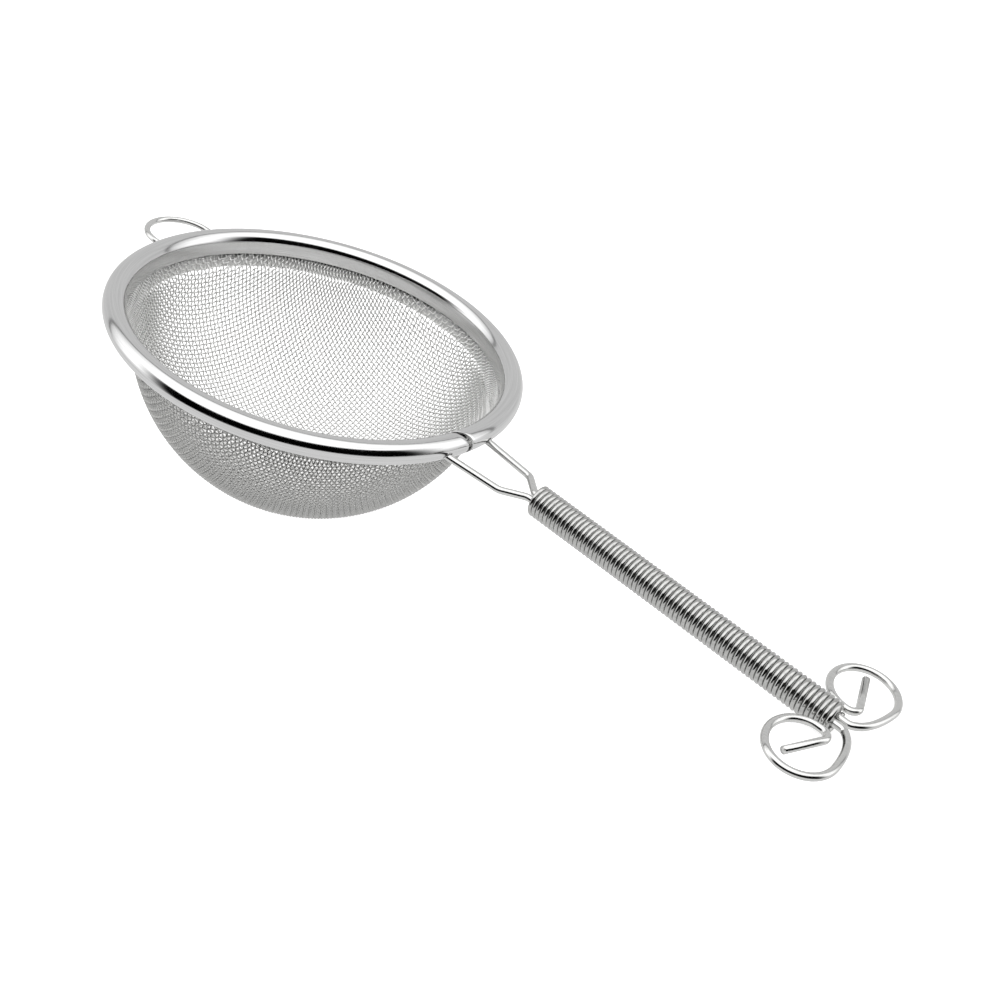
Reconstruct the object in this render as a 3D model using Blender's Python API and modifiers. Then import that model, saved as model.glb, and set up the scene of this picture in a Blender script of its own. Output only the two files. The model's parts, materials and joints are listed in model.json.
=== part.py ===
"""Tea strainer: a wire-cloth bowl in a rolled sheet rim, on a wire handle with a coil grip and a rest hook.

The rim's plane is z = 0 of the rim frame, with the bowl below it and the handle along +X.
The rim frame is tilted so that the bowl and the end of the grip stand on the table at world z = 0.
"""

import math

import bmesh
import bpy
from mathutils import Matrix, Vector

MM = 0.001

# Bowl of woven wire cloth, modelled as a thin shell
CLOTH_RADIUS = 34.55 * MM
CLOTH_THICKNESS = 0.4 * MM
BOWL_CENTRE_Z = 0.6 * MM
BOWL_TOP_ANGLE = math.radians(83)
BOWL_LIP = (34.9 * MM, -2.9 * MM)
REST_FLAT_DEPTH = 0.25 * MM
BOWL_SIDES = 48
BOWL_ARC_STEPS = 11

# Rim band: a sheet strip rolled round over the ring wire, with an inner wall and an outer flange
RIM_RADIUS = 38.0 * MM
BEAD_CENTRE = (37.6 * MM, 0.09 * MM)
BEAD_RADIUS = 2.35 * MM
SHEET = 0.35 * MM
INNER_WALL_END = (35.8 * MM, -1.9 * MM)
OUTER_FLANGE = ((36.5 * MM, -2.85 * MM), (34.95 * MM, -4.3 * MM))
BEAD_START = math.radians(185)
BEAD_END = math.radians(-72)
BEAD_STEPS = 11
RIM_SIDES = 56
SEAM_GAP = 0.4 * MM
FLANGE_GAP = 5.4 * MM
FLANGE_TRIM_TOP = -2.75 * MM
TUNNEL_GAP = 0.3 * MM

# Handle wire: one wire that runs round inside the rim and ends in two open loops
HANDLE_WIRE = 0.68 * MM
HANDLE_Z = -0.5 * MM
CORE_Y = 0.95 * MM
RING_START = math.radians(12)
RING_STEPS = 56
RIM_CORNER = Vector((37.6 * MM, 5.7 * MM))
FORK_SHOULDER = Vector((50.6 * MM, 4.35 * MM))
FORK_NECK_X = 54.6 * MM
LOOP_NECK_X = 119.9 * MM
LOOP_CENTRE = Vector((117.6 * MM, 10.6 * MM))
LOOP_HALF_X = 5.6 * MM
LOOP_HALF_Y = 6.6 * MM
LOOP_INNER_END = math.radians(262)
LOOP_STEPS = 30
TAIL_BEND_RUN = 3.0 * MM
TAIL_TIP = Vector((116.2 * MM, 14.0 * MM))
BEND_RADIUS = 1.6 * MM
FORK_BEND_RADIUS = 2.2 * MM
BEND_STEPS = 5

# Grip coil, close wound over the two core wires
COIL_START_X = 56.0 * MM
COIL_PITCH = 0.86 * MM
COIL_TURNS = 72
COIL_WIRE = 0.41 * MM
COIL_RADIUS = 2.48 * MM
COIL_STEPS_PER_TURN = 8

# Rest hook on the side opposite the handle
HOOK_WIRE = 0.6 * MM
HOOK_RADIUS = 6.75 * MM
HOOK_CENTRE_X = -41.6 * MM
HOOK_INNER_X = -38.45 * MM
HOOK_STEPS = 14

STEEL = (0.80, 0.80, 0.79, 1.0)
CLOTH_STEEL = (0.74, 0.74, 0.73, 1.0)


def clear_scene():
    for item in list(bpy.data.objects):
        bpy.data.objects.remove(item, do_unlink=True)


def new_collection(name):
    group = bpy.data.collections.new(name)
    bpy.context.scene.collection.children.link(group)
    return group


def steel(name, colour, roughness):
    material = bpy.data.materials.new(name)
    material.use_nodes = True
    shader = material.node_tree.nodes["Principled BSDF"]
    shader.inputs["Base Color"].default_value = colour
    shader.inputs["Metallic"].default_value = 1.0
    shader.inputs["Roughness"].default_value = roughness
    return material


def add_object(name, data, group, parent, material=None):
    item = bpy.data.objects.new(name, data)
    group.objects.link(item)
    item.parent = parent
    if material:
        item.data.materials.append(material)
    return item


def mark_cutter(item):
    item.hide_render = True
    item.display_type = "WIRE"


def profile_mesh(name, points):
    """A string of edges in the XZ plane, for a Screw modifier."""
    mesh = bpy.data.meshes.new(name)
    edges = [(k, k + 1) for k in range(len(points) - 1)]
    mesh.from_pydata([(x, 0.0, z) for x, z in points], edges, [])
    return mesh


def add_screw(item, sides, angle=2 * math.pi):
    screw = item.modifiers.new("Turn", "SCREW")
    screw.angle = angle
    screw.steps = sides
    screw.render_steps = sides
    screw.use_merge_vertices = True
    screw.merge_threshold = 0.00001
    screw.use_smooth_shade = True
    screw.use_normal_calculate = False


def add_thickness(item, thickness):
    solid = item.modifiers.new("Sheet", "SOLIDIFY")
    solid.thickness = thickness
    solid.offset = 0.0
    solid.use_even_offset = True


def add_cut(item, cutter):
    cut = item.modifiers.new("Cut " + cutter.name, "BOOLEAN")
    cut.operation = "DIFFERENCE"
    cut.solver = "EXACT"
    cut.object = cutter


def box_cutter(name, size, centre, group, parent):
    mesh = bpy.data.meshes.new(name)
    solid = bmesh.new()
    bmesh.ops.create_cube(solid, size=1.0, matrix=Matrix.Diagonal((*size, 1.0)))
    solid.to_mesh(mesh)
    solid.free()
    item = add_object(name, mesh, group, parent)
    item.location = centre
    mark_cutter(item)
    return item


def wire_object(name, points, radius, group, parent, material=None):
    """A round wire along a line of points, with closed ends."""
    curve = bpy.data.curves.new(name, "CURVE")
    curve.dimensions = "3D"
    curve.bevel_depth = radius
    curve.bevel_resolution = 2
    curve.use_fill_caps = True
    curve.render_resolution_u = 0
    spline = curve.splines.new("POLY")
    spline.points.add(len(points) - 1)
    for target, point in zip(spline.points, points):
        target.co = (*point, 1.0)
    spline.use_smooth = True
    return add_object(name, curve, group, parent, material)


def wire_cutter(name, points, radius, group, parent):
    """A closed solid round a wire's path, for the hole that the wire leaves by."""
    guide = wire_object(name + "_guide", points, radius, group, parent)
    bpy.context.view_layer.update()
    depsgraph = bpy.context.evaluated_depsgraph_get()
    mesh = bpy.data.meshes.new_from_object(guide.evaluated_get(depsgraph))
    solid = bmesh.new()
    solid.from_mesh(mesh)
    bmesh.ops.remove_doubles(solid, verts=solid.verts, dist=0.001 * MM)
    bmesh.ops.recalc_face_normals(solid, faces=solid.faces)
    solid.to_mesh(mesh)
    solid.free()
    item = add_object(name, mesh, group, parent)
    item.matrix_world = guide.matrix_world
    bpy.data.objects.remove(guide, do_unlink=True)
    mark_cutter(item)
    return item


def rounded_corner(before, corner, after, radius):
    """Points of an arc that rounds the corner between two straight runs."""
    to_before = (before - corner).normalized()
    to_after = (after - corner).normalized()
    half = to_before.angle(to_after) / 2
    centre = corner + (to_before + to_after).normalized() * radius / math.sin(half)
    start = corner + to_before * radius / math.tan(half)
    end = corner + to_after * radius / math.tan(half)
    arc = []
    for k in range(BEND_STEPS + 1):
        chord_point = start.lerp(end, k / BEND_STEPS)
        arc.append(centre + (chord_point - centre).normalized() * radius)
    return arc


def loop_point(angle):
    return LOOP_CENTRE + Vector((LOOP_HALF_X * math.cos(angle), LOOP_HALF_Y * math.sin(angle)))


def tangent_angle(point):
    """Angle on the loop's oval, on its far side, where a line from the point touches it."""
    x = (point.x - LOOP_CENTRE.x) / LOOP_HALF_X
    y = (point.y - LOOP_CENTRE.y) / LOOP_HALF_Y
    return math.atan2(y, x) + math.acos(1 / math.hypot(x, y))


def half_handle_path():
    """The +Y half of the handle wire, from the loop's tip to the ring inside the rim."""
    loop_neck = Vector((LOOP_NECK_X, CORE_Y))
    fork_neck = Vector((FORK_NECK_X, CORE_Y))
    outer_end = tangent_angle(loop_neck)
    inner = loop_point(LOOP_INNER_END)
    tail_bend = inner + Vector((TAIL_BEND_RUN, 0.0))
    ring_start = Vector((math.cos(RING_START), math.sin(RING_START))) * RIM_RADIUS
    path = [TAIL_TIP]
    path += rounded_corner(TAIL_TIP, tail_bend, inner, BEND_RADIUS)
    for k in range(1, LOOP_STEPS + 1):
        path.append(loop_point(LOOP_INNER_END + (outer_end - LOOP_INNER_END) * k / LOOP_STEPS))
    path += rounded_corner(loop_point(outer_end), loop_neck, fork_neck, BEND_RADIUS)
    path += rounded_corner(loop_neck, fork_neck, FORK_SHOULDER, FORK_BEND_RADIUS)
    path += rounded_corner(fork_neck, FORK_SHOULDER, RIM_CORNER, FORK_BEND_RADIUS)
    path += rounded_corner(FORK_SHOULDER, RIM_CORNER, ring_start, BEND_RADIUS)
    return path


def ring_path():
    arc = []
    for k in range(RING_STEPS + 1):
        angle = RING_START + (2 * math.pi - 2 * RING_START) * k / RING_STEPS
        arc.append(Vector((math.cos(angle), math.sin(angle))) * RIM_RADIUS)
    return arc


def lift(points, side=1):
    return [Vector((point.x, side * point.y, HANDLE_Z)) for point in points]


def handle_path():
    half = half_handle_path()
    return lift(half) + lift(ring_path()) + lift(reversed(half), side=-1)


def coil_path():
    steps = COIL_TURNS * COIL_STEPS_PER_TURN
    path = []
    for k in range(steps + 1):
        angle = 2 * math.pi * k / COIL_STEPS_PER_TURN
        x = COIL_START_X + COIL_PITCH * k / COIL_STEPS_PER_TURN
        path.append(Vector((x, COIL_RADIUS * math.cos(angle), HANDLE_Z + COIL_RADIUS * math.sin(angle))))
    return path


def hook_path():
    flat = [Vector((HOOK_INNER_X, HOOK_RADIUS))]
    for k in range(HOOK_STEPS + 1):
        angle = math.pi / 2 + math.pi * k / HOOK_STEPS
        flat.append(Vector((HOOK_CENTRE_X, 0.0)) + HOOK_RADIUS * Vector((math.cos(angle), math.sin(angle))))
    flat.append(Vector((HOOK_INNER_X, -HOOK_RADIUS)))
    return [Vector((point.x, point.y, 0.0)) for point in flat]


def bead_points():
    """The sheet's middle line over the bead, from its inner side to the underside."""
    radius = BEAD_RADIUS - SHEET / 2
    points = []
    for k in range(BEAD_STEPS + 1):
        angle = BEAD_START + (BEAD_END - BEAD_START) * k / BEAD_STEPS
        x = BEAD_CENTRE[0] + radius * math.cos(angle)
        points.append((x, BEAD_CENTRE[1] + radius * math.sin(angle)))
    return points


def rest_depth():
    """Distance from the bowl's centre down to the table."""
    return CLOTH_RADIUS + CLOTH_THICKNESS / 2 - REST_FLAT_DEPTH


def rest_tilt():
    """Angle between the rim's plane and the table, with the bowl and the coil's end standing on it."""
    coil_outside = COIL_RADIUS + COIL_WIRE
    reach = COIL_START_X + COIL_PITCH * COIL_TURNS
    rise = BOWL_CENTRE_Z - HANDLE_Z
    drop = (rest_depth() - coil_outside) / math.hypot(reach, rise)
    return math.asin(drop) - math.atan2(rise, reach)


def make_bowl(group, cutters, rim_frame):
    """A thin shell, pressed round, with a flared lip under the rim and a small flat where it rests."""
    profile = [BOWL_LIP]
    for k in range(BOWL_ARC_STEPS + 1):
        angle = BOWL_TOP_ANGLE * (1 - k / BOWL_ARC_STEPS)
        height = BOWL_CENTRE_Z - CLOTH_RADIUS * math.cos(angle)
        profile.append((CLOTH_RADIUS * math.sin(angle), height))
    mesh = profile_mesh("mesh_bowl", profile)
    bowl = add_object("mesh_bowl", mesh, group, rim_frame, steel("cloth_steel", CLOTH_STEEL, 0.25))
    add_screw(bowl, BOWL_SIDES)
    add_thickness(bowl, CLOTH_THICKNESS)
    side = CLOTH_RADIUS
    down = Vector((math.sin(rest_tilt()), 0.0, -math.cos(rest_tilt())))
    centre = Vector((0.0, 0.0, BOWL_CENTRE_Z)) + down * (rest_depth() + side / 2)
    table = box_cutter("table", (side, side, side), centre, cutters, rim_frame)
    table.rotation_euler = (0.0, -rest_tilt(), 0.0)
    add_cut(bowl, table)
    return bowl


def make_rim(group, cutters, rim_frame):
    """The rolled band, open at the seam and pierced where the wires leave it."""
    points = [INNER_WALL_END, *bead_points(), *OUTER_FLANGE]
    rim = add_object(
        "rim_band", profile_mesh("rim_band", points), group, rim_frame, steel("rim_steel", STEEL, 0.12)
    )
    half_seam = SEAM_GAP / 2 / RIM_RADIUS
    rim.rotation_euler = (0.0, 0.0, half_seam)
    add_screw(rim, RIM_SIDES, 2 * math.pi - 2 * half_seam)
    add_thickness(rim, SHEET)
    for side, word in ((1, "left"), (-1, "right")):
        fork = lift(half_handle_path()[-2 * (BEND_STEPS + 1) :], side)
        tunnel = wire_cutter("fork_hole_" + word, fork, HANDLE_WIRE + TUNNEL_GAP, cutters, rim_frame)
        add_cut(rim, tunnel)
    hook_hole = wire_cutter("hook_hole", hook_path(), HOOK_WIRE + TUNNEL_GAP, cutters, rim_frame)
    add_cut(rim, hook_hole)
    depth = 8 * MM
    trim = box_cutter(
        "flange_trim",
        (depth, FLANGE_GAP, depth),
        (RIM_RADIUS - 1 * MM, 0.0, FLANGE_TRIM_TOP - depth / 2),
        cutters,
        rim_frame,
    )
    add_cut(rim, trim)
    return rim


def stand_on_origin(parts, rim_frame):
    """Move the whole object so that the origin is at the bottom centre of its bounding box."""
    bpy.context.view_layer.update()
    depsgraph = bpy.context.evaluated_depsgraph_get()
    corners = []
    for item in parts:
        solid = item.evaluated_get(depsgraph)
        mesh = solid.to_mesh()
        corners += [item.matrix_world @ vertex.co for vertex in mesh.vertices]
        solid.to_mesh_clear()
    low = [min(corner[axis] for corner in corners) for axis in range(3)]
    high = [max(corner[axis] for corner in corners) for axis in range(3)]
    rim_frame.location -= Vector(((low[0] + high[0]) / 2, (low[1] + high[1]) / 2, low[2]))


def build():
    clear_scene()
    group = new_collection("tea_strainer")
    cutters = new_collection("cutters")
    rim_frame = bpy.data.objects.new("rim_frame", None)
    group.objects.link(rim_frame)
    rim_frame.rotation_euler = (0.0, rest_tilt(), 0.0)
    bpy.context.view_layer.update()
    handle_steel = steel("handle_steel", STEEL, 0.12)
    coil_steel = steel("coil_steel", STEEL, 0.15)
    hook_steel = steel("hook_steel", STEEL, 0.12)
    parts = [
        make_bowl(group, cutters, rim_frame),
        make_rim(group, cutters, rim_frame),
        wire_object("handle_wire", handle_path(), HANDLE_WIRE, group, rim_frame, handle_steel),
        wire_object("grip_coil", coil_path(), COIL_WIRE, group, rim_frame, coil_steel),
        wire_object("rest_hook", hook_path(), HOOK_WIRE, group, rim_frame, hook_steel),
    ]
    stand_on_origin(parts, rim_frame)


build()
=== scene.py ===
"""Tea strainer in polished steel: a woven bowl, its rolled rim, wire handle, coil grip and rest hook.

Lengths are in millimetres in the rim frame: the rim's plane is z = 0, the bowl hangs below it and the
handle runs along +X. The rim frame is then tilted and stood on the bowl's resting place.
"""

import json
import math

import bmesh
import bpy
from mathutils import Matrix, Quaternion, Vector
from mathutils.geometry import interpolate_bezier


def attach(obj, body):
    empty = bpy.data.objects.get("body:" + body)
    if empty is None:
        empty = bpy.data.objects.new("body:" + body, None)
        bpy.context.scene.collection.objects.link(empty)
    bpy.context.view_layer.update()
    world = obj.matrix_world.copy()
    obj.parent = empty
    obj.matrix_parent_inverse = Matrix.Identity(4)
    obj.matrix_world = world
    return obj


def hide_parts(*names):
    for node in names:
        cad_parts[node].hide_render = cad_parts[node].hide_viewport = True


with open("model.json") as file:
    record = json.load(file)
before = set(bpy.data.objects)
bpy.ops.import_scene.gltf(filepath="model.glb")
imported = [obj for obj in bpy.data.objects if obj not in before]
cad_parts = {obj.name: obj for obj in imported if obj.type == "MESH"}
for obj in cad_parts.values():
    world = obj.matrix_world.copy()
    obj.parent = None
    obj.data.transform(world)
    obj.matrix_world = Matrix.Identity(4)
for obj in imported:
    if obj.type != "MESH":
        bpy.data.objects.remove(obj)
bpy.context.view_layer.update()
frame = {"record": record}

MM = 0.001

# Bowl of plain square weave, pressed round
CLOTH_RADIUS = 34.55
BOWL_CENTRE_Z = 0.6
REST_DEPTH = 34.5
WEAVE_PITCH = 0.90
WEAVE_WIRE = 0.15
WEAVE_CRIMP = 0.20
WEAVE_TURN = math.radians(-2)
WEAVE_REACH = 62
WEAVE_SIDES = 1
SAMPLES_PER_CROSSING = 3
FLARE_ANGLE = math.radians(81)
LIP_ANGLE = math.radians(86)
LIP_RADIUS = 36.3
LIP_Z = -1.8

# Painted light and shade: the cloth's wires are coloured pale on the bowl's inside and dark on its outside,
# though they are one steel.
PAINTED_LIGHT_INSIDE_COLOUR = (0.92, 0.92, 0.91, 1.0)
PAINTED_SHADE_OUTSIDE_COLOUR = (0.52, 0.52, 0.51, 1.0)
INSIDE_ROUGHNESS = 0.36
OUTSIDE_ROUGHNESS = 0.16
COLOUR_FADE = 0.5

# Rim band: a sheet strip rolled over the ring wire
RIM_RADIUS = 38.0
SHEET = 0.35
BEAD_CENTRE = (37.8, 0.3)
BEAD_RADIUS = 2.15 - SHEET / 2
BEAD_START = math.radians(185)
BEAD_END = math.radians(-72)
BEAD_STEPS = 36
INNER_WALL_END = (35.75, -1.9)
OUTER_FLANGE = ((36.5, -2.85), (34.95, -4.3))
RIM_STEPS = 288
SHEET_EDGE_BEVEL = 0.08
SHEET_EDGE_SEGMENTS = 2
SHEET_EDGE_ANGLE = math.radians(60)
# Painted light: a near-white, dull colour on the flange's inside in place of a bright reflection.
FLANGE_PAINTED_LIGHT_COLOUR = (0.97, 0.97, 0.96, 1.0)
FLANGE_COLOUR_FADE = 0.1
SEAM_GAP = 1.1
SEAM_ANGLE = math.radians(-0.4)
SEAM_SKEW = math.radians(-4.5)
FLANGE_GAP = 5.4
FLANGE_TRIM_TOP = -2.75
FLANGE_TRIM_DEPTH = 8.0
FLANGE_TRIM_X = 37.0
TUNNEL_GAP = 0.25

# Handle wire, which runs round inside the rim and ends in two open loops
WIRE_SIDES = 6
HANDLE_WIRE = 0.68
HANDLE_END_ROUNDING = 0.25
HANDLE_Z = -0.5
CORE_Y = 0.95
RING_START = math.radians(12)
RING_STEPS = 180
RIM_CORNER = Vector((37.6, 5.7))
FORK_SHOULDER = Vector((50.6, 4.35))
FORK_NECK_X = 54.6
LOOP_NECK_X = 119.9
LOOP_CENTRE = Vector((117.6, 10.6))
LOOP_HALF_X = 5.6
LOOP_HALF_Y = 6.6
LOOP_INNER_END = math.radians(262)
LOOP_OUTER_END = math.radians(-5)
LOOP_BULGE = Vector((0.25, 3.2))
NECK_APPROACH = Vector((0.7, 0.7))
NECK_PULL = 2.4
LOOP_STEPS = 64
TAIL_BEND_RUN = 3.0
TAIL_TIP = Vector((116.2, 14.0))
BEND_RADIUS = 1.6
FORK_BEND_RADIUS = 2.2
BEND_STEPS = 14

# Grip coil, close wound over the two core wires
COIL_START_X = 56.0
COIL_PITCH = 0.86
COIL_TURNS = 72
COIL_WIRE = 0.425
COIL_END_ROUNDING = 0.12
COIL_SIDES = 4
COIL_RADIUS = 2.48
COIL_STEPS_PER_TURN = 26

# Rest hook on the side opposite the handle
HOOK_WIRE = 0.6
HOOK_RADIUS = 6.75
HOOK_CENTRE_X = -41.6
HOOK_INNER_X = -38.45
HOOK_STEPS = 48

# Steel: colours, roughness and the size of the polishing lines and worn patches
RIM_COLOUR = (0.80, 0.80, 0.80, 1.0)
WIRE_COLOUR = (0.80, 0.80, 0.79, 1.0)
COIL_COLOUR = (0.62, 0.62, 0.61, 1.0)
RIM_ROUGHNESS = 0.10
WIRE_ROUGHNESS = 0.12
COIL_ROUGHNESS = 0.14
LINE_SHADE = 0.86
LINE_ROUGHNESS = 0.08
LINE_DETAIL = 5.0
LINE_STRENGTH = 0.06
LINE_HEIGHT = 0.00003
WORN_PATCHES_PER_MM = 0.16
RIM_LINES = (3.0, 9.0, 9.0)
HANDLE_LINES = (0.35, 7.0, 7.0)
EVEN_LINES = (1.5, 1.5, 1.5)

# Camera: where it stands, how far it is rolled, and its lens
CAMERA_AZIMUTH = math.radians(36.79)
CAMERA_ELEVATION = math.radians(24.32)
CAMERA_ROLL = math.radians(5.31)
CAMERA_AIM = Vector((0.0149, -0.00685, 0.020))
CAMERA_DISTANCE = 0.23308
CAMERA_LENS = 49.55
CAMERA_SENSOR = 36.0

# Studio: glow of the screen, of the tent behind and of the floor below. Edges are shares of the way to
# the camera's side, and heights are angles over the horizon.
SCREEN_GLOW = 1.42
BACK_GLOW = 0.66
BELOW_GLOW = 0.78
SCREEN_EDGE = (-0.5, -0.1)
SLIT_EDGES = (-0.48, -0.44, -0.42, -0.38)
SLIT_DEPTH = 0.7
HORIZON = (math.radians(-12), math.radians(8))
GAP_EDGE = (0.05, 0.45)
GAP_FOOT = (math.radians(-23), math.radians(-15))
GAP_TOP = (math.radians(30), math.radians(37))
FLOOR_RADIUS = 4.0
FLOOR_SEGMENTS = 96
FLOOR_COLOUR = (0.8, 0.8, 0.8, 1.0)
FLOOR_ROUGHNESS = 0.9
FLOOR_GLOW = 0.72


def rest_place():
    """The point of the table that the bowl stands on."""
    mounts = frame["record"]["mounts"]
    rest = next(mount for mount in mounts if mount["name"] == "rest_flat")
    return Vector(rest["pos_m"])


def rest_tilt():
    """Angle between the rim's plane and the table, with the bowl and the grip's end standing on it."""
    reach = COIL_START_X + COIL_PITCH * COIL_TURNS
    rise = BOWL_CENTRE_Z - HANDLE_Z
    drop = (REST_DEPTH - COIL_RADIUS - COIL_WIRE) / math.hypot(reach, rise)
    return math.asin(drop) - math.atan2(rise, reach)


TILT = rest_tilt()
BOWL_CENTRE = rest_place() + Vector((0.0, 0.0, REST_DEPTH * MM))
RIM_FRAME = (
    Matrix.Translation(BOWL_CENTRE)
    @ Matrix.Rotation(TILT, 4, "Y")
    @ Matrix.Scale(MM, 4)
    @ Matrix.Translation((0.0, 0.0, -BOWL_CENTRE_Z))
)


# ---------------------------------------------------------------- shader maths


class Signal:
    """One output of a shader node. Sums and products of it add Math nodes."""

    def __init__(self, nodes, socket):
        self.nodes = nodes
        self.socket = socket

    def maths(self, operation, first, second=None):
        values = {0: first}
        if second is not None:
            values[1] = second
        return self.nodes.add("ShaderNodeMath", {"operation": operation}, values)

    def __add__(self, other):
        return self.maths("ADD", self, other)

    def __radd__(self, other):
        return self.maths("ADD", other, self)

    def __sub__(self, other):
        return self.maths("SUBTRACT", self, other)

    def __rsub__(self, other):
        return self.maths("SUBTRACT", other, self)

    def __mul__(self, other):
        return self.maths("MULTIPLY", self, other)

    def __rmul__(self, other):
        return self.maths("MULTIPLY", other, self)


class Nodes:
    """The node tree of a material or of the surroundings."""

    def __init__(self, tree):
        self.tree = tree

    def add(self, kind, settings, values, output=0):
        made = self.tree.nodes.new(kind)
        for name, setting in settings.items():
            setattr(made, name, setting)
        for name, value in values.items():
            self.feed(made.inputs[name], value)
        return Signal(self, made.outputs[output])

    def feed(self, socket, value):
        if isinstance(value, Signal):
            self.tree.links.new(value.socket, socket)
        else:
            socket.default_value = value

    def split(self, vector):
        parts = self.add("ShaderNodeSeparateXYZ", {}, {0: vector})
        outputs = parts.socket.node.outputs
        return [Signal(self, outputs[axis]) for axis in range(3)]

    def join(self, x, y, z):
        return self.add("ShaderNodeCombineXYZ", {}, {0: x, 1: y, 2: z})

    def noise(self, vector, scale, detail=3.0):
        values = {"Vector": vector, "Scale": scale, "Detail": detail}
        return self.add("ShaderNodeTexNoise", {}, values)

    def ease(self, value, low, high, to_low=0.0, to_high=1.0):
        values = {"Value": value, "From Min": low, "From Max": high, "To Min": to_low, "To Max": to_high}
        return self.add("ShaderNodeMapRange", {"interpolation_type": "SMOOTHSTEP"}, values)

    def blend(self, share, first, second):
        """A colour between two colours. Inputs 6 and 7 are the Mix node's pair of colours."""
        return self.add("ShaderNodeMix", {"data_type": "RGBA"}, {0: share, 6: first, 7: second}, 2)


def rim_coordinates(nodes):
    """Object coordinates turned and moved so that the rim's centre is the origin, in millimetres."""
    place = nodes.add("ShaderNodeTexCoord", {}, {}, "Object")
    back = RIM_FRAME.inverted()
    values = {
        "Vector": place,
        "Location": back.to_translation(),
        "Rotation": back.to_euler(),
        "Scale": back.to_scale(),
    }
    return nodes.add("ShaderNodeMapping", {"vector_type": "POINT"}, values)


def bare_steel(name):
    """A metallic material, with its nodes and its shader."""
    material = bpy.data.materials.new(name)
    material.use_nodes = True
    shader = material.node_tree.nodes["Principled BSDF"]
    shader.inputs["Metallic"].default_value = 1.0
    return material, Nodes(material.node_tree), shader


def steel(name, colour, roughness, streaks):
    """Polished steel. The streaks function gives the coordinates along which the polishing lines run."""
    material, nodes, shader = bare_steel(name)
    place = rim_coordinates(nodes)
    lines = nodes.noise(streaks(nodes, place), 1.0, LINE_DETAIL)
    wear = nodes.ease(nodes.noise(place, WORN_PATCHES_PER_MM), 0.35, 0.7)
    darker = (*(LINE_SHADE * channel for channel in colour[:3]), 1.0)
    nodes.feed(shader.inputs["Base Color"], nodes.blend(nodes.ease(lines, 0.3, 0.7), darker, colour))
    nodes.feed(shader.inputs["Roughness"], roughness + LINE_ROUGHNESS * lines * wear)
    relief = {"Strength": LINE_STRENGTH, "Distance": LINE_HEIGHT, "Height": lines}
    nodes.feed(shader.inputs["Normal"], nodes.add("ShaderNodeBump", {}, relief))
    return material


def woven_steel(name):
    """Steel of the cloth: soft, with painted light in a pale colour, on the bowl's inside, and polished,
    with painted shade in a darker colour, on its outside.
    """
    material, nodes, shader = bare_steel(name)
    x, y, z = nodes.split(rim_coordinates(nodes))
    up = z - BOWL_CENTRE_Z
    distance = x.maths("SQRT", x * x + y * y + up * up)
    flange_foot = OUTER_FLANGE[1][1]
    below_flange = 1 - nodes.ease(z, flange_foot - COLOUR_FADE, flange_foot)
    shaded_outside = nodes.ease(distance, CLOTH_RADIUS - WEAVE_WIRE, CLOTH_RADIUS + WEAVE_WIRE) * below_flange
    # Painted light and shade: the wires' inner halves get a pale colour and their outer halves below the
    # flange a dark one.
    nodes.feed(shader.inputs["Base Color"], nodes.blend(shaded_outside, PAINTED_LIGHT_INSIDE_COLOUR, PAINTED_SHADE_OUTSIDE_COLOUR))
    roughness = nodes.ease(shaded_outside, 0.0, 1.0, INSIDE_ROUGHNESS, OUTSIDE_ROUGHNESS)
    nodes.feed(shader.inputs["Roughness"], roughness)
    return material


def rim_steel(name):
    """Rim steel with painted light on the flange's inside, where the cloth lies against it: a dull, pale,
    non-metallic colour that stands for a bright reflection.
    """
    material = steel(name, RIM_COLOUR, RIM_ROUGHNESS, along_rim)
    nodes = Nodes(material.node_tree)
    shader = material.node_tree.nodes["Principled BSDF"]
    x, y, z = nodes.split(rim_coordinates(nodes))
    radius = x.maths("SQRT", x * x + y * y)
    (top_radius, top_z), (foot_radius, foot_z) = OUTER_FLANGE
    middle = (z - foot_z) * ((top_radius - foot_radius) / (top_z - foot_z)) + foot_radius
    inside = 1 - nodes.ease(radius - middle, -FLANGE_COLOUR_FADE, FLANGE_COLOUR_FADE)
    painted_light_share = inside * (1 - nodes.ease(z, top_z, top_z + COLOUR_FADE))
    polished = Signal(nodes, shader.inputs["Base Color"].links[0].from_socket)
    # Painted light: the flange's inside is coloured near white and made non-metallic, standing for a bright
    # reflection.
    nodes.feed(shader.inputs["Base Color"], nodes.blend(painted_light_share, polished, FLANGE_PAINTED_LIGHT_COLOUR))
    nodes.feed(shader.inputs["Metallic"], 1 - painted_light_share)
    return material


def along_rim(nodes, place):
    x, y, z = nodes.split(place)
    radius = x.maths("SQRT", x * x + y * y)
    around, across, up = RIM_LINES
    return nodes.join(x.maths("ARCTAN2", y, x) * around, radius * across, z * up)


def along_handle(nodes, place):
    return nodes.join(*(part * scale for part, scale in zip(nodes.split(place), HANDLE_LINES)))


def even(nodes, place):
    return nodes.join(*(part * scale for part, scale in zip(nodes.split(place), EVEN_LINES)))


# ---------------------------------------------------------------- making pieces


def add_object(name, mesh):
    item = bpy.data.objects.new(name, mesh)
    bpy.context.scene.collection.objects.link(item)
    return item


def finish_piece(name, solid, node, material):
    """Turn a bmesh in the rim frame into a piece that stands for a CAD node."""
    bmesh.ops.transform(solid, matrix=RIM_FRAME, verts=solid.verts)
    bmesh.ops.recalc_face_normals(solid, faces=solid.faces)
    for face in solid.faces:
        face.smooth = True
    mesh = bpy.data.meshes.new(name)
    solid.to_mesh(mesh)
    solid.free()
    mesh.materials.append(material)
    piece = add_object(name, mesh)
    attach(piece, "root")
    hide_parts(node)
    return piece


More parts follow.
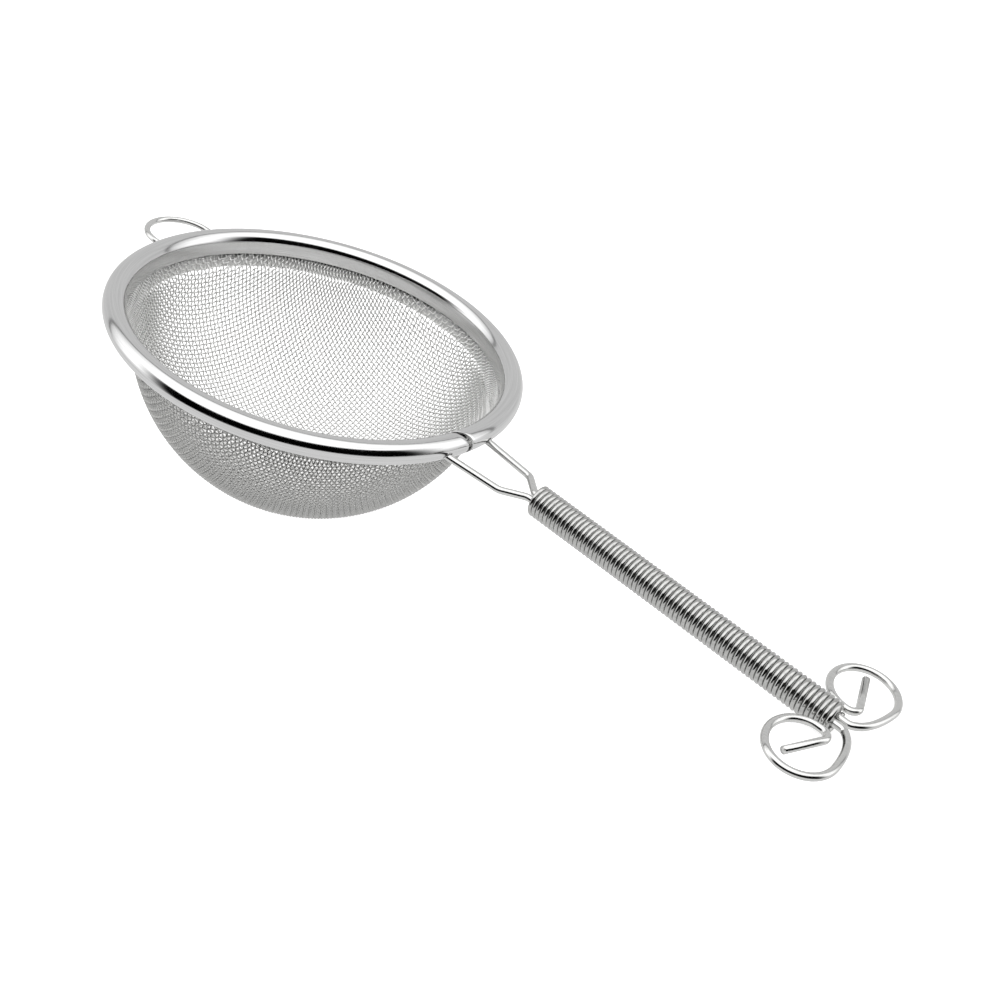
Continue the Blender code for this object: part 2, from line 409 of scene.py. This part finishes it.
def wires(name, paths, radius, sides_level):
    """A bmesh of round wires along the given paths, with closed ends."""
    curve = bpy.data.curves.new(name, "CURVE")
    curve.dimensions = "3D"
    curve.bevel_depth = radius
    curve.bevel_resolution = sides_level
    curve.use_fill_caps = True
    for path in paths:
        spline = curve.splines.new("POLY")
        spline.points.add(len(path) - 1)
        for target, point in zip(spline.points, path):
            target.co = (*point, 1.0)
    guide = add_object(name + "_guide", curve)
    depsgraph = bpy.context.evaluated_depsgraph_get()
    mesh = bpy.data.meshes.new_from_object(guide.evaluated_get(depsgraph))
    solid = bmesh.new()
    solid.from_mesh(mesh)
    bpy.data.objects.remove(guide, do_unlink=True)
    bpy.data.curves.remove(curve)
    bpy.data.meshes.remove(mesh)
    bmesh.ops.remove_doubles(solid, verts=solid.verts, dist=0.001)
    return solid


def round_wire_ends(solid, size):
    caps = [face for face in solid.faces if len(face.verts) > 4]
    edges = list({edge for face in caps for edge in face.edges})
    bmesh.ops.bevel(solid, geom=edges, offset=size, segments=3, profile=0.5, affect="EDGES", material=-1)


# ---------------------------------------------------------------- woven bowl


def net_quadrant():
    """Crossings of a square net laid on a ball from its pole, with every side of a mesh the same length."""
    step = WEAVE_PITCH / CLOTH_RADIUS
    net = {}
    for k in range(WEAVE_REACH + 1):
        net[k, 0] = Vector((math.sin(k * step), 0.0, -math.cos(k * step)))
        net[0, k] = Vector((0.0, math.sin(k * step), -math.cos(k * step)))
    for i in range(1, WEAVE_REACH + 1):
        for j in range(1, WEAVE_REACH + 1):
            fold = net[i - 1, j].cross(net[i, j - 1]).normalized()
            corner = net[i - 1, j - 1]
            net[i, j] = corner - 2 * corner.dot(fold) * fold
    return net


def net_point(net, i, j):
    point = net[abs(i), abs(j)]
    return Vector((math.copysign(point.x, i), math.copysign(point.y, j), point.z))


def cloth_surface(direction):
    """Where the cloth's middle lies in the given direction from the bowl's centre, in the rim frame."""
    point = direction * CLOTH_RADIUS
    depth = math.acos(max(-1.0, min(1.0, -direction.z)))
    if depth > FLARE_ANGLE:
        share = (depth - FLARE_ANGLE) / (LIP_ANGLE - FLARE_ANGLE)
        radius = CLOTH_RADIUS * math.sin(FLARE_ANGLE)
        height = -CLOTH_RADIUS * math.cos(FLARE_ANGLE)
        radius += share * (LIP_RADIUS - radius)
        height += share * (LIP_Z - BOWL_CENTRE_Z - height)
        flat = Vector((point.x, point.y)).normalized() * radius
        point = Vector((flat.x, flat.y, height))
    down = Vector((math.sin(TILT), 0.0, -math.cos(TILT)))
    sunk = point.dot(down) - (REST_DEPTH - 2 * WEAVE_WIRE)
    if sunk > 0:
        point = point - down * sunk
    return point + Vector((0.0, 0.0, BOWL_CENTRE_Z))


def weave_wire(net, row, family):
    """The path of one wire of the cloth, over and under the wires that cross it."""
    turn = Matrix.Rotation(WEAVE_TURN, 3, "Z")
    halves = []
    for way in (1, -1):
        half = []
        for k in range(WEAVE_REACH * SAMPLES_PER_CROSSING):
            j, part = divmod(k, SAMPLES_PER_CROSSING)
            share = part / SAMPLES_PER_CROSSING
            ends = []
            for step in (j, j + 1):
                cell = (row, step * way) if family == 0 else (step * way, row)
                if max(abs(cell[0]), abs(cell[1])) > WEAVE_REACH:
                    break
                ends.append(net_point(net, *cell))
            if len(ends) < 2:
                break
            direction = ends[0].lerp(ends[1], share).normalized()
            if -direction.z < math.cos(LIP_ANGLE):
                break
            swing = math.cos(math.pi * (share + j + row + family))
            half.append(cloth_surface(turn @ direction) + (turn @ direction) * swing * WEAVE_CRIMP)
        halves.append(half)
    forward, backward = halves
    return list(reversed(backward[1:])) + forward


def make_cloth(material):
    net = net_quadrant()
    for family, word in ((0, "warp"), (1, "weft")):
        paths = [weave_wire(net, row, family) for row in range(-WEAVE_REACH, WEAVE_REACH + 1)]
        paths = [path for path in paths if len(path) > 2]
        middle = len(paths) // 2
        for part, group in (("a", paths[:middle]), ("b", paths[middle:])):
            name = "cloth_" + word + "_" + part
            solid = wires(name, group, WEAVE_WIRE, WEAVE_SIDES)
            finish_piece(name, solid, "mesh_bowl", material)


# ---------------------------------------------------------------- handle wire, coil and hook


def rounded_corner(before, corner, after, radius):
    """Points of an arc that rounds the corner between two straight runs."""
    to_before = (before - corner).normalized()
    to_after = (after - corner).normalized()
    half = to_before.angle(to_after) / 2
    centre = corner + (to_before + to_after).normalized() * radius / math.sin(half)
    start = corner + to_before * radius / math.tan(half)
    end = corner + to_after * radius / math.tan(half)
    arc = []
    for k in range(BEND_STEPS + 1):
        chord_point = start.lerp(end, k / BEND_STEPS)
        arc.append(centre + (chord_point - centre).normalized() * radius)
    return arc


def loop_point(angle):
    return LOOP_CENTRE + Vector((LOOP_HALF_X * math.cos(angle), LOOP_HALF_Y * math.sin(angle)))


def half_handle_path():
    """The +Y half of the handle wire, from the loop's tip to the ring inside the rim."""
    loop_neck = Vector((LOOP_NECK_X, CORE_Y))
    fork_neck = Vector((FORK_NECK_X, CORE_Y))
    run_start = loop_point(LOOP_OUTER_END)
    run_end = loop_neck + NECK_APPROACH
    inner = loop_point(LOOP_INNER_END)
    tail_bend = inner + Vector((TAIL_BEND_RUN, 0.0))
    ring_start = Vector((math.cos(RING_START), math.sin(RING_START))) * RIM_RADIUS
    path = [TAIL_TIP]
    path += rounded_corner(TAIL_TIP, tail_bend, inner, BEND_RADIUS)
    for k in range(1, LOOP_STEPS):
        path.append(loop_point(LOOP_INNER_END + (LOOP_OUTER_END - LOOP_INNER_END) * k / LOOP_STEPS))
    pull = run_end + NECK_PULL * NECK_APPROACH
    path += interpolate_bezier(run_start, run_start - LOOP_BULGE, pull, run_end, 2 * BEND_STEPS)
    path += rounded_corner(run_end, loop_neck, fork_neck, BEND_RADIUS)
    path += rounded_corner(loop_neck, fork_neck, FORK_SHOULDER, FORK_BEND_RADIUS)
    path += rounded_corner(fork_neck, FORK_SHOULDER, RIM_CORNER, FORK_BEND_RADIUS)
    path += rounded_corner(FORK_SHOULDER, RIM_CORNER, ring_start, BEND_RADIUS)
    return path


def ring_path():
    arc = []
    for k in range(RING_STEPS + 1):
        angle = RING_START + (2 * math.pi - 2 * RING_START) * k / RING_STEPS
        arc.append(Vector((math.cos(angle), math.sin(angle))) * RIM_RADIUS)
    return arc


def lift(points, side=1):
    return [Vector((point.x, side * point.y, HANDLE_Z)) for point in points]


def coil_path():
    path = []
    for k in range(COIL_TURNS * COIL_STEPS_PER_TURN + 1):
        angle = 2 * math.pi * k / COIL_STEPS_PER_TURN
        x = COIL_START_X + COIL_PITCH * k / COIL_STEPS_PER_TURN
        path.append(Vector((x, COIL_RADIUS * math.cos(angle), HANDLE_Z + COIL_RADIUS * math.sin(angle))))
    return path


def hook_path():
    centre = Vector((HOOK_CENTRE_X, 0.0, 0.0))
    path = [Vector((HOOK_INNER_X, HOOK_RADIUS, 0.0))]
    for k in range(HOOK_STEPS + 1):
        angle = math.pi / 2 + math.pi * k / HOOK_STEPS
        path.append(centre + HOOK_RADIUS * Vector((math.cos(angle), math.sin(angle), 0.0)))
    path.append(Vector((HOOK_INNER_X, -HOOK_RADIUS, 0.0)))
    return path


def make_handle(material):
    half = half_handle_path()
    path = lift(half) + lift(ring_path()) + lift(reversed(half), side=-1)
    solid = wires("handle_wire", [path], HANDLE_WIRE, WIRE_SIDES)
    round_wire_ends(solid, HANDLE_END_ROUNDING)
    finish_piece("strainer_handle_wire", solid, "handle_wire", material)


def make_coil(material):
    solid = wires("grip_coil", [coil_path()], COIL_WIRE, COIL_SIDES)
    round_wire_ends(solid, COIL_END_ROUNDING)
    finish_piece("strainer_grip_coil", solid, "grip_coil", material)


def make_hook(material):
    solid = wires("rest_hook", [hook_path()], HOOK_WIRE, WIRE_SIDES)
    finish_piece("strainer_rest_hook", solid, "rest_hook", material)


# ---------------------------------------------------------------- rim band


def bead_profile():
    """The sheet's middle line from the inner wall's end over the bead to the outer flange's edge."""
    points = [INNER_WALL_END]
    for k in range(BEAD_STEPS + 1):
        angle = BEAD_START + (BEAD_END - BEAD_START) * k / BEAD_STEPS
        x = BEAD_CENTRE[0] + BEAD_RADIUS * math.cos(angle)
        points.append((x, BEAD_CENTRE[1] + BEAD_RADIUS * math.sin(angle)))
    points.extend(OUTER_FLANGE)
    return points


def cut(piece, cutter):
    """Cut one object's shape out of another."""
    remove = piece.modifiers.new("Cut", "BOOLEAN")
    remove.operation = "DIFFERENCE"
    remove.solver = "EXACT"
    remove.object = cutter


def loose_object(name, solid):
    """A working object, removed again once the piece is made."""
    bmesh.ops.recalc_face_normals(solid, faces=solid.faces)
    mesh = bpy.data.meshes.new(name)
    solid.to_mesh(mesh)
    solid.free()
    return add_object(name, mesh)


def open_ring():
    """The sheet's middle surface, spun round the rim from one side of the slanted seam to the other."""
    half_seam = SEAM_GAP / 2 / RIM_RADIUS
    strip = bmesh.new()
    line = []
    for x, z in bead_profile():
        inward = (BEAD_CENTRE[0] + BEAD_RADIUS - x) / (2 * BEAD_RADIUS)
        skew = Matrix.Rotation(SEAM_SKEW * inward, 3, "Z")
        line.append(strip.verts.new(skew @ Vector((x, 0.0, z))))
    for a, b in zip(line, line[1:]):
        strip.edges.new((a, b))
    start = Matrix.Rotation(SEAM_ANGLE + half_seam, 3, "Z")
    bmesh.ops.rotate(strip, verts=strip.verts, cent=(0, 0, 0), matrix=start)
    bmesh.ops.spin(
        strip,
        geom=strip.verts[:] + strip.edges[:],
        cent=(0, 0, 0),
        axis=(0, 0, 1),
        angle=2 * math.pi - 2 * half_seam,
        steps=RIM_STEPS,
    )
    return strip


def flange_notch():
    """The block that trims the outer flange away under the fork."""
    place = Matrix.Translation((FLANGE_TRIM_X, 0.0, FLANGE_TRIM_TOP - FLANGE_TRIM_DEPTH / 2))
    shape = Matrix.Diagonal((FLANGE_TRIM_DEPTH, FLANGE_GAP, FLANGE_TRIM_DEPTH, 1.0))
    block = bmesh.new()
    bmesh.ops.create_cube(block, size=1.0, matrix=place @ shape)
    return block


def make_rim(material):
    """The rolled band, open at the seam and pierced where the wires leave it."""
    band = loose_object("band", open_ring())
    sheet = band.modifiers.new("Sheet", "SOLIDIFY")
    sheet.thickness = SHEET
    sheet.offset = 0.0
    sheet.use_even_offset = True
    edge = band.modifiers.new("Edge", "BEVEL")
    edge.width = SHEET_EDGE_BEVEL
    edge.segments = SHEET_EDGE_SEGMENTS
    edge.limit_method = "ANGLE"
    edge.angle_limit = SHEET_EDGE_ANGLE
    fork = half_handle_path()[-2 * (BEND_STEPS + 1) :]
    holes = [(lift(fork, side), HANDLE_WIRE) for side in (1, -1)] + [(hook_path(), HOOK_WIRE)]
    tunnels = [wires("tunnel", [path], wire + TUNNEL_GAP, WIRE_SIDES) for path, wire in holes]
    cutters = [loose_object("cutter", solid) for solid in (*tunnels, flange_notch())]
    for cutter in cutters:
        cut(band, cutter)
    depsgraph = bpy.context.evaluated_depsgraph_get()
    solid = bmesh.new()
    solid.from_mesh(bpy.data.meshes.new_from_object(band.evaluated_get(depsgraph)))
    for item in (band, *cutters):
        bpy.data.objects.remove(item, do_unlink=True)
    finish_piece("strainer_rim_band", solid, "rim_band", material)


# ---------------------------------------------------------------- studio


def sines(angles):
    return [math.sin(angle) for angle in angles]


def make_surroundings():
    """A pale tent: a bright screen over the camera's side, a dark gap under it, grey behind and below."""
    world = bpy.data.worlds.new("studio")
    bpy.context.scene.world = world
    world.use_nodes = True
    nodes = Nodes(world.node_tree)
    x, y, z = nodes.split(nodes.add("ShaderNodeTexCoord", {}, {}, "Generated"))
    front = x * math.sin(CAMERA_AZIMUTH) - y * math.cos(CAMERA_AZIMUTH)
    slit = nodes.ease(front, *SLIT_EDGES[:2]) * (1 - nodes.ease(front, *SLIT_EDGES[2:]))
    above = nodes.ease(front, *SCREEN_EDGE, BACK_GLOW, SCREEN_GLOW) * (1 - SLIT_DEPTH * slit)
    high = nodes.ease(z, *sines(HORIZON))
    light = above * high + (1 - high) * BELOW_GLOW
    over_foot = nodes.ease(z, *sines(GAP_FOOT))
    under_top = 1 - nodes.ease(z, *sines(GAP_TOP))
    light = light * (1 - nodes.ease(front, *GAP_EDGE) * over_foot * under_top)
    seen = nodes.add("ShaderNodeLightPath", {}, {}, "Is Camera Ray")
    light = light * (1 - seen) + seen
    back = world.node_tree.nodes["Background"]
    nodes.feed(back.inputs["Color"], nodes.join(light, light, light))


def make_floor():
    """A pale floor that glows a little, so that it stays even. The tent stands for it in reflections."""
    solid = bmesh.new()
    bmesh.ops.create_circle(solid, cap_ends=True, segments=FLOOR_SEGMENTS, radius=FLOOR_RADIUS)
    mesh = bpy.data.meshes.new("floor")
    solid.to_mesh(mesh)
    solid.free()
    material = bpy.data.materials.new("floor")
    material.use_nodes = True
    shader = material.node_tree.nodes["Principled BSDF"]
    shader.inputs["Base Color"].default_value = FLOOR_COLOUR
    shader.inputs["Roughness"].default_value = FLOOR_ROUGHNESS
    shader.inputs["Emission Color"].default_value = (1.0, 1.0, 1.0, 1.0)
    shader.inputs["Emission Strength"].default_value = FLOOR_GLOW
    shader.inputs["Specular IOR Level"].default_value = 0.0
    mesh.materials.append(material)
    floor = add_object("floor", mesh)
    floor.visible_glossy = False


def make_camera():
    camera = bpy.data.cameras.new("camera")
    camera.lens = CAMERA_LENS
    camera.sensor_width = CAMERA_SENSOR
    camera.clip_start = 0.01
    item = add_object("camera", camera)
    back = Vector(
        (
            math.sin(CAMERA_AZIMUTH) * math.cos(CAMERA_ELEVATION),
            -math.cos(CAMERA_AZIMUTH) * math.cos(CAMERA_ELEVATION),
            math.sin(CAMERA_ELEVATION),
        )
    )
    item.location = CAMERA_AIM + back * CAMERA_DISTANCE
    item.rotation_mode = "QUATERNION"
    item.rotation_quaternion = (-back).to_track_quat("-Z", "Y") @ Quaternion((0, 0, 1), CAMERA_ROLL)
    bpy.context.scene.camera = item


def build():
    make_camera()
    make_surroundings()
    make_floor()
    bpy.context.scene.view_settings.view_transform = "Standard"
    make_cloth(woven_steel("cloth_steel"))
    make_rim(rim_steel("rim_steel"))
    make_handle(steel("handle_steel", WIRE_COLOUR, WIRE_ROUGHNESS, along_handle))
    make_coil(steel("coil_steel", COIL_COLOUR, COIL_ROUGHNESS, even))
    make_hook(steel("hook_steel", WIRE_COLOUR, WIRE_ROUGHNESS, along_handle))


build()
